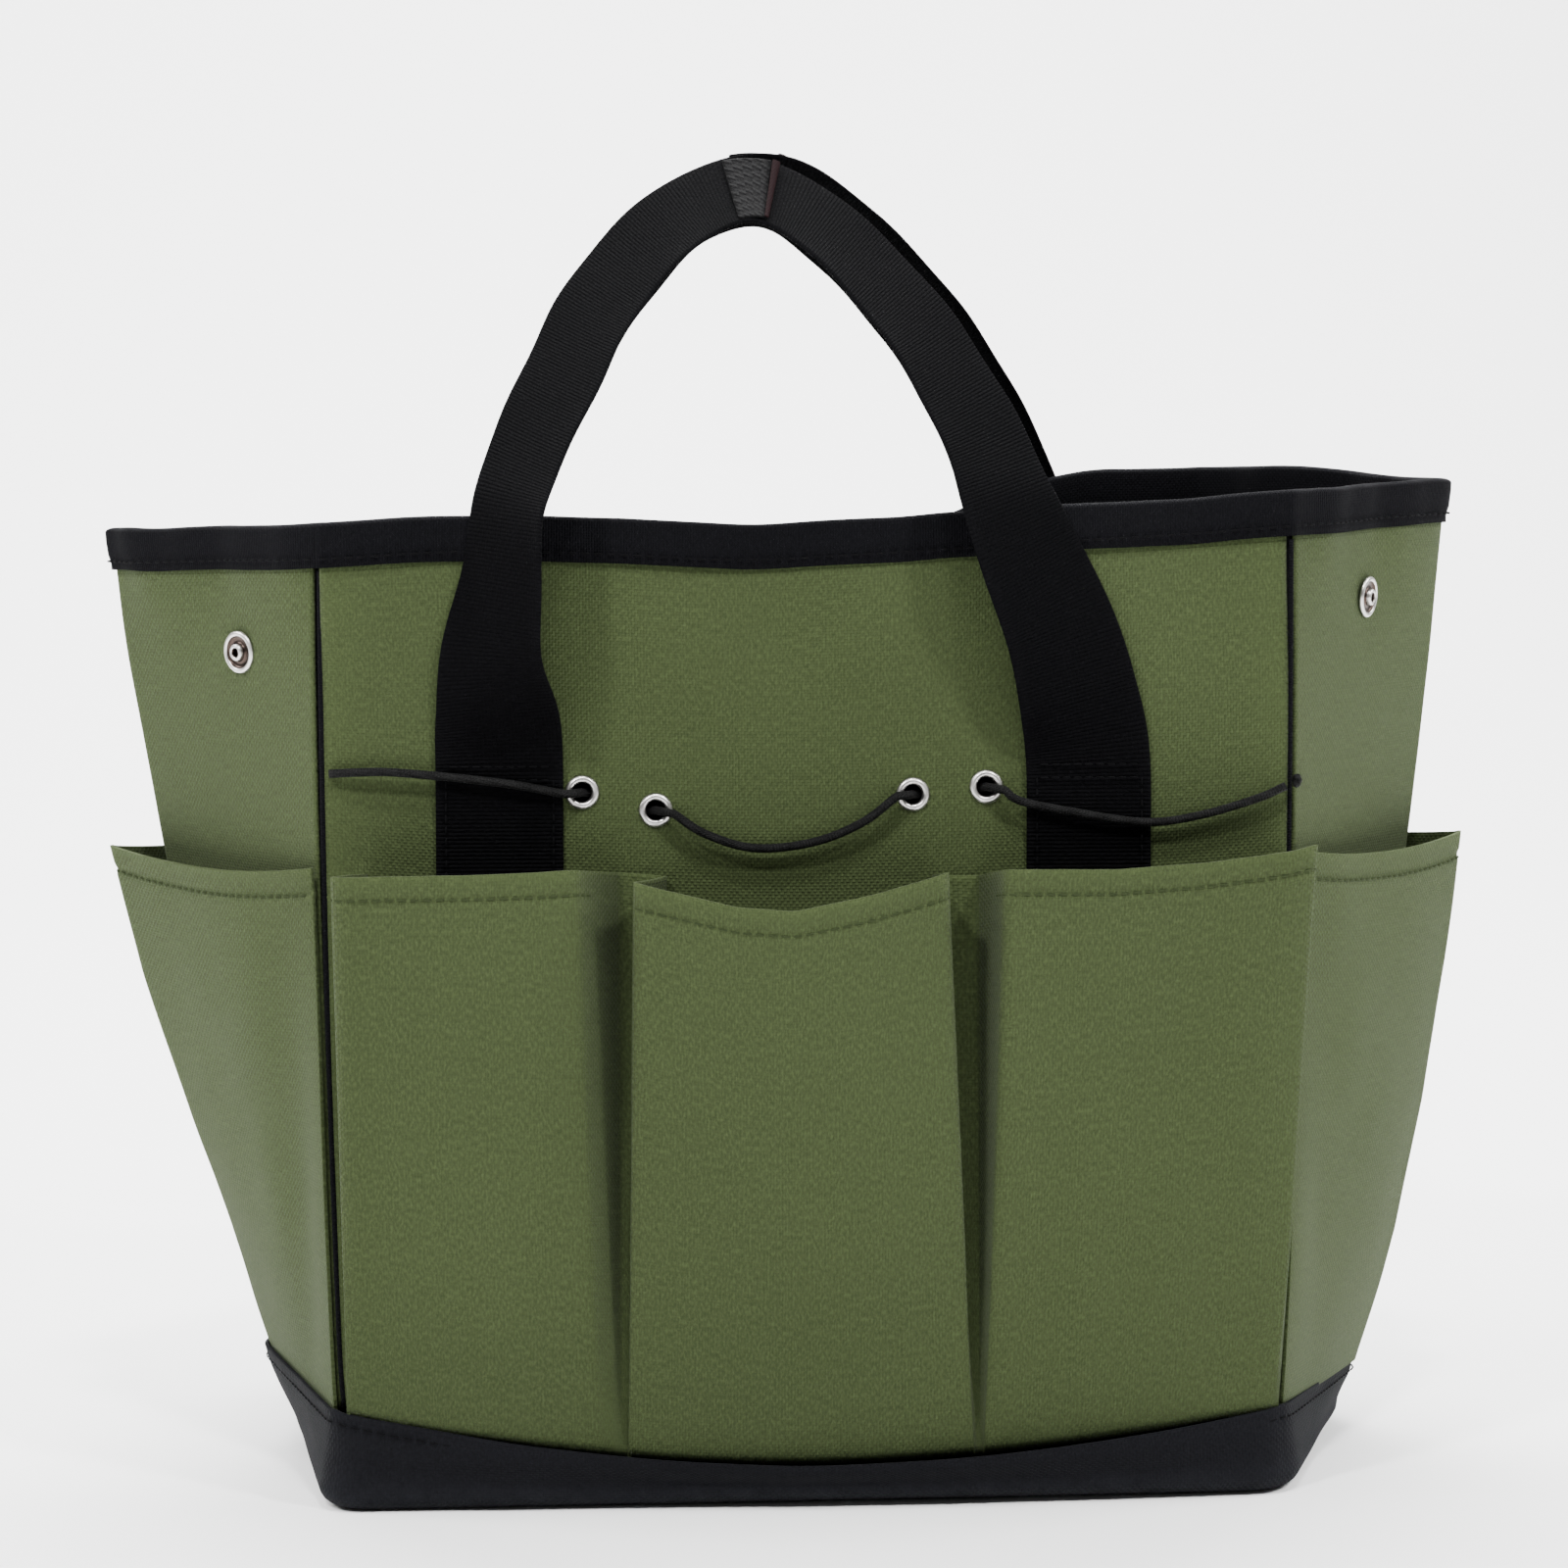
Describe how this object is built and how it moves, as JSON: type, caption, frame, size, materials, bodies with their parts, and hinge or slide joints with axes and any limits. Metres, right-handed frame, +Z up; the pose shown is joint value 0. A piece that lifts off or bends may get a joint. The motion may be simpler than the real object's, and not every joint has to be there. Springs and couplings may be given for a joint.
{
  "type": "garden tool bag",
  "caption": "Open-topped cloth tote for garden tools, with pleated outside pockets, webbing handles, an elastic lacing cord and snap-in side gussets.",
  "frame": {"origin": "centre of the flat base, on the surface it stands on", "axes": "+Z up, -Y towards the front with the elastic cord, +X towards the viewer's right"},
  "size_m": [0.4381, 0.2322, 0.4124],
  "materials": {
    "green_canvas": "matt woven polyester canvas with a PU-coated back",
    "black_canvas": "matt heavy woven canvas",
    "black_lining": "plain woven lining",
    "black_binding": "ribbed binding tape",
    "black_webbing": "twill-woven webbing with a slight sheen",
    "black_cord": "braided cover over an elastic core",
    "grey_board": "moulded sheet",
    "silver_metal": "nickel plated"
  },
  "bodies": {
    "bag": {"front_panel": "green_canvas", "back_panel": "green_canvas", "left_gusset": "green_canvas", "right_gusset": "green_canvas", "front_lining": "black_lining", "back_lining": "black_lining", "left_gusset_lining": "black_lining", "right_gusset_lining": "black_lining", "base_lining": "black_lining", "base_tray": "black_canvas", "base_board": "grey_board", "rim_binding": "black_binding", "front_left_piping": "black_binding", "front_right_piping": "black_binding", "back_left_piping": "black_binding", "back_right_piping": "black_binding", "front_pocket_strip": "green_canvas", "back_pocket_strip": "green_canvas", "left_side_pocket": "green_canvas", "right_side_pocket": "green_canvas", "front_handle_left_end": "black_webbing", "front_handle_right_end": "black_webbing", "back_handle_left_end": "black_webbing", "back_handle_right_end": "black_webbing", "elastic_cord": "black_cord", "cord_knot": "black_cord", "eyelet_1": "silver_metal", "eyelet_2": "silver_metal", "eyelet_3": "silver_metal", "eyelet_4": "silver_metal", "eyelet_washer_1": "silver_metal", "eyelet_washer_2": "silver_metal", "eyelet_washer_3": "silver_metal", "eyelet_washer_4": "silver_metal", "left_front_snap_stud": "silver_metal", "left_back_snap_socket": "silver_metal", "left_front_snap_cap": "silver_metal", "left_back_snap_cap": "silver_metal", "right_front_snap_stud": "silver_metal", "right_back_snap_socket": "silver_metal", "right_front_snap_cap": "silver_metal", "right_back_snap_cap": "silver_metal"},
    "front_handle": {"front_handle": "black_webbing"},
    "back_handle": {"back_handle": "black_webbing"}
  },
  "joints": [
    {"name": "front_handle_swing", "type": "hinge", "parent": "bag", "child": "front_handle", "pos_m": [0, -0.08091, 0.227], "axis": [1, 0, 0], "range_deg": [0, 101]},
    {"name": "back_handle_swing", "type": "hinge", "parent": "bag", "child": "back_handle", "pos_m": [0, 0.08091, 0.227], "axis": [-1, 0, 0], "range_deg": [0, 101]}
  ]
}
